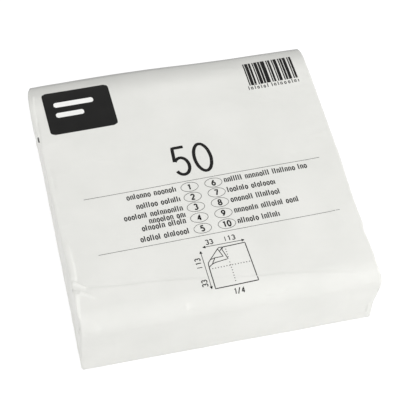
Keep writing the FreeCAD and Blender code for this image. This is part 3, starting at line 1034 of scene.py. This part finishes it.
def small_print(start, stop, y, seed, scale=1.0, spacing=1.0):
    """Upright, arched and round marks in groups as long as words."""
    foot = y - SMALL_HEIGHT * scale / 2
    top = foot + SMALL_HEIGHT * scale
    wide = MARK_WIDTH * scale
    x = start
    number = 0
    while x < stop - wide / 2:
        chance = noise.noise(Vector((seed * 3.7, number * 0.83, 0.5)))
        other = noise.noise(Vector((seed * 1.9, number * 1.37, 6.5)))
        near_end = min(x - start, stop - x) < 4 * wide
        if number % 9 == 7 and not near_end:
            x += wide
        elif chance > 0.12 or stop - x < 1.4 * wide:
            high = foot + (TALL_HEIGHT if chance > 0.12 else SMALL_HEIGHT) * scale
            stroke("dark", turned([(x, foot), (x, high)]), MARK_STROKE * scale, step=1.2)
            x += 0.85 * wide * spacing
        elif other > 0:
            middle, radii = (x + wide * 0.36, (foot + top) / 2), (wide * 0.42, (top - foot) / 2)
            ring = turned(arc(middle, radii, 0, 360, 11)[:-1])
            stroke("dark", ring, MARK_STROKE * scale, ring=True, step=1.2)
            x += 1.38 * wide * spacing
        else:
            arch = [(x, foot), (x, top), (x + 0.72 * wide, top), (x + 0.72 * wide, foot)]
            stroke("dark", turned(arch), MARK_STROKE * scale, step=1.2)
            x += 1.38 * wide * spacing
        number += 1


for number, (start, y) in enumerate(LEFT_LINES):
    small_print(start, LEFT_STOP, y, 1 + number)
for number, (stop, y) in enumerate(RIGHT_LINES):
    small_print(RIGHT_START, stop, y, 11 + number)
print("small print:", len(LEFT_LINES) + len(RIGHT_LINES), "lines")

# %% [markdown]
# The bar block has a rhythm of its own and stands for no number. Ink spreads as it is printed, so
# each bar is a little wider than its share. A short run of marks stands under it.

# %% The bar block
BARS_LOW, BARS_HIGH = (47.0, 58.0), (77.0, 75.0)
BAR_WIDTHS = (1, 3, 2, 1, 3, 2, 4, 1, 2, 1, 3, 1, 2, 3, 1, 2)
BAR_GAPS = (1, 1, 2, 1, 1, 1, 2, 1, 2, 1, 2, 1, 1, 2, 1)
INK_SPREAD = 0.12

unit = (BARS_HIGH[0] - BARS_LOW[0]) / (sum(BAR_WIDTHS) + sum(BAR_GAPS))
x = BARS_LOW[0]
for width, gap in zip(BAR_WIDTHS, BAR_GAPS + (0,)):
    middle = x + width * unit / 2
    bar = turned([(middle, BARS_LOW[1]), (middle, BARS_HIGH[1])])
    stroke("dark", bar, width * unit + INK_SPREAD)
    x += (width + gap) * unit
small_print(46.0, 77.5, 55.8, 31, scale=0.75, spacing=1.5)
print("bars one unit wide are", round(unit, 2), "mm")

# %% [markdown]
# The little drawing shows how the napkin is folded: a square with its two fold lines dotted, one
# corner turned back, and an arrow along two sides with plain numbers for its size.

# %% The fold drawing
DRAWING_LINE = 0.5
THIN_LINE = 0.42
DOT = 0.5
SIZE_STROKE = 0.55
SHEET_EDGE = [(1.6, -49.0), (14.4, -48.4), (15.7, -73.1), (-8.4, -73.7), (-8.7, -60.2)]
TURNED_CORNER = (
    [(1.6, -49.0), (0.9, -50.5), (2.8, -56.9), (-4.6, -57.9), (-6.6, -58.7), (-8.7, -60.2)],
    [(1.4, -48.9), (-0.4, -48.9), (-1.4, -49.6), (0.5, -54.9), (-4.1, -54.9), (-6.6, -55.6)],
    [(-1.4, -49.6), (-7.3, -56.1), (-8.4, -57.3), (-8.7, -58.7), (-8.7, -60.2)],
    [(-4.3, -55.2), (-6.5, -58.6)],
    [(-0.5, -51.1), (1.4, -49.2)],
)
stroke("dark", SHEET_EDGE, DRAWING_LINE)
for line in TURNED_CORNER:
    stroke("dark", line, THIN_LINE)
for down in np.arange(0, 22, 1.7):
    dot = np.array([3.0 + 0.02 * down, -50.4 - down])
    if not -58.2 < dot[1] < -55.6:
        stroke("dark", [dot, dot - (0, DOT)], DOT)
for along in np.arange(0, 21, 1.6):
    dot = np.array([-7.2 + along, -61.4 + 0.03 * along])
    stroke("dark", [dot, dot + (DOT, 0)], DOT)


def double_arrow(start, stop):
    """A thin line with a small head at each end."""
    start, stop = np.array(start, float), np.array(stop, float)
    ahead = (stop - start) / np.linalg.norm(stop - start)
    aside = np.array([-ahead[1], ahead[0]])
    stroke("dark", [start, stop], 0.32)
    for tip, back in ((start, ahead), (stop, -ahead)):
        lay("dark", [[tip - back * 0.1 - aside * 0.2, tip - back * 0.1 + aside * 0.2],
                     [tip + back * 1.4 - aside * 0.85, tip + back * 1.4 + aside * 0.85]])


double_arrow((-9.0, -47.1), (14.4, -46.7))
double_arrow((-11.0, -49.5), (-10.4, -73.3))
for text, place, height, turn in (
    ("33", (-6.8, -45.7), 2.9, 0),
    ("13", (5.9, -45.3), 2.9, 0),
    ("33", (-12.0, -71.6), 2.9, 90),
    ("13", (-12.4, -57.6), 2.9, 90),
    ("1/4", (1.4, -77.9), 2.6, 0),
):
    write("dark", text, place, height, SIZE_STROKE, turn=math.radians(turn), print_axes=False)
for divider in ([(4.3, -45.5), (4.3, -42.6)], [(-15.2, -59.5), (-12.3, -59.5)]):
    stroke("dark", divider, 0.4)
print("dark marks so far:", len(ink_marks["dark"][1]))

# %% [markdown]
# Printing ink on film is thin and a little uneven, denser in some places than in others. The two
# bars on the dark field are printed over it in a dense white.

# %% Inks
INK_ROUGHNESS = (0.38, 0.50)


def ink_material(name, thin, dense):
    """Ink whose colour and gloss vary a little."""
    material, tree, shader = new_material(name)
    colour = mixed_colour(tree, noise_node(tree, 120, 4), thin, dense)
    uneven = between(tree, noise_node(tree, 90), NOISE_RANGE, INK_ROUGHNESS)
    tree.links.new(colour, shader.inputs["Base Color"])
    tree.links.new(uneven, shader.inputs["Roughness"])
    shader.inputs["Specular IOR Level"].default_value = 0.15
    add_bump(tree, shader, noise_node(tree, 900, 2), 0.00001, 0.5)
    return material


INKS = {
    "dark": ink_material("dark_ink", (0.008, 0.0078, 0.0073), (0.005, 0.005, 0.0047)),
    "grey": ink_material("thin_ink", (0.17, 0.17, 0.165), (0.12, 0.12, 0.115)),
    "white": ink_material("white_ink", (0.90, 0.90, 0.88), (0.95, 0.95, 0.93)),
}


def make_print(ink, name, above=0.0):
    """Joins all marks of one ink into one piece."""
    points, faces = ink_marks[ink]
    raised = np.concatenate(points) + [0, 0, above]
    piece = make_object(name, raised, np.concatenate(faces), INKS[ink])
    piece.data.polygons.foreach_set("use_smooth", [False] * len(piece.data.polygons))
    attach(piece, "root")
    print(name, len(piece.data.polygons), "faces")
    return piece


make_print("dark", "dark_print")
make_print("grey", "thin_print")

WHITE_BARS = ((-69.5, 66.0), (-46.0, 69.5)), ((-69.5, 58.5), (-53.0, 62.0))
for low, high in WHITE_BARS:
    box_field("white", low, high, 1.0)
make_print("white", "white_bars", above=0.03)

# %% [markdown]
# The floor is a plain pale sheet. The camera sees it close to white, with only a part of the
# pack's shadow, as in a catalogue picture, while the light that it throws back on the pack is
# that of plain white paper. Light Path tells the two apart.

# %% The floor
FLOOR_REACH = 3.0
FLOOR_GREY = 0.8
SEEN_GREY = 0.32
SEEN_GLOW = 0.77


def empty_tree(owner):
    """The node tree of a material or a world, with nothing in it."""
    owner.use_nodes = True
    owner.node_tree.nodes.clear()
    return owner.node_tree


def two_sorts(tree, for_light, as_seen):
    """One shader for light, and one for rays from the camera, gloss or something clear."""
    rays = add_node(tree, "ShaderNodeLightPath").outputs
    seen = maths(tree, "MAXIMUM", rays["Is Camera Ray"], rays["Is Glossy Ray"])
    seen = maths(tree, "MAXIMUM", seen, rays["Is Transmission Ray"])
    return add_node(tree, "ShaderNodeMixShader", {0: seen, 1: for_light, 2: as_seen}).outputs[0]


def floor_material():
    """White paper for the light, brighter white with a fainter shadow for the camera."""
    material = bpy.data.materials.new("pale_floor")
    tree = empty_tree(material)
    paper, faint = (
        add_node(tree, "ShaderNodeBsdfDiffuse", {"Color": (grey, grey, grey, 1)}).outputs[0]
        for grey in (FLOOR_GREY, SEEN_GREY)
    )
    glow = add_node(tree, "ShaderNodeEmission", {"Strength": SEEN_GLOW}).outputs[0]
    seen = add_node(tree, "ShaderNodeAddShader", {0: faint, 1: glow}).outputs[0]
    add_node(tree, "ShaderNodeOutputMaterial", {"Surface": two_sorts(tree, paper, seen)})
    return material


edge = FLOOR_REACH / MM
corners = [(-edge, -edge, 0), (edge, -edge, 0), (edge, edge, 0), (-edge, edge, 0)]
floor = make_object("floor", corners, [(0, 1, 2, 3)], floor_material())
print("floor laid,", 2 * FLOOR_REACH, "m wide")

# %% [markdown]
# The light is very soft. A small softbox close to the right end makes that end the brighter one
# and brings out the folds, a wide one high behind lights the top, and a small one overhead on the
# left draws the edges of the folds. Two more, low in front and on the left, even out the rest.
# One lamp alone would leave hard shadows in the creases.

# %% Softboxes
SOFTBOXES = {  # place and diameter in metres, and watts
    "right_softbox": ((0.55, -0.38, 0.36), 0.50, 1.50),
    "front_softbox": ((0.45, -1.00, 0.36), 1.10, 0.60),
    "back_softbox": ((0.1, 1.2, 1.6), 2.4, 2.2),
    "top_softbox": ((-0.45, 0.1, 1.6), 0.5, 1.5),
    "left_softbox": ((-1.2, -0.6, 0.8), 1.4, 1.5),
}
LIT_MIDDLE = Vector((0, 0, 0.02))

for name, (place, size, power) in SOFTBOXES.items():
    lamp = bpy.data.lights.new(name, "AREA")
    lamp.shape = "DISK"
    lamp.size = size
    lamp.energy = power
    place_and_aim(bpy.data.objects.new(name, lamp), place, LIT_MIDDLE)
print("lamps:", ", ".join(SOFTBOXES))

# %% [markdown]
# Most of the light comes from a pale surround, like a tent of white cloth, a little more of it
# from low in front. An image of a studio could wrap the scene, but one colour with a slow change
# of strength is plainer. The camera and the gloss see it as white.

# %% The pale surround
SURROUND_BRIGHT = 0.995
SURROUND_DIM = 0.665
SURROUND_FROM = (0.0, -0.77, -0.64)
WHITE = (1, 1, 1, 1)


def add_surround():
    """Light that is brighter from one direction, and plain white as it is seen."""
    studio = bpy.data.worlds.new("studio")
    tree = empty_tree(studio)
    direction = add_node(tree, "ShaderNodeTexCoord").outputs["Generated"]
    inputs = {0: direction, 1: Vector(SURROUND_FROM).normalized()}
    dot = add_node(tree, "ShaderNodeVectorMath", inputs, operation="DOT_PRODUCT")
    towards = dot.outputs["Value"]
    strength = between(tree, towards, (-1, 1), (SURROUND_DIM, SURROUND_BRIGHT))
    light, seen = (
        add_node(tree, "ShaderNodeBackground", {"Color": WHITE, "Strength": power}).outputs[0]
        for power in (strength, 1.0)
    )
    add_node(tree, "ShaderNodeOutputWorld", {"Surface": two_sorts(tree, light, seen)})
    bpy.context.scene.world = studio


add_surround()
bpy.context.scene.view_settings.view_transform = "Standard"
print("surround from", SURROUND_DIM, "to", SURROUND_BRIGHT)
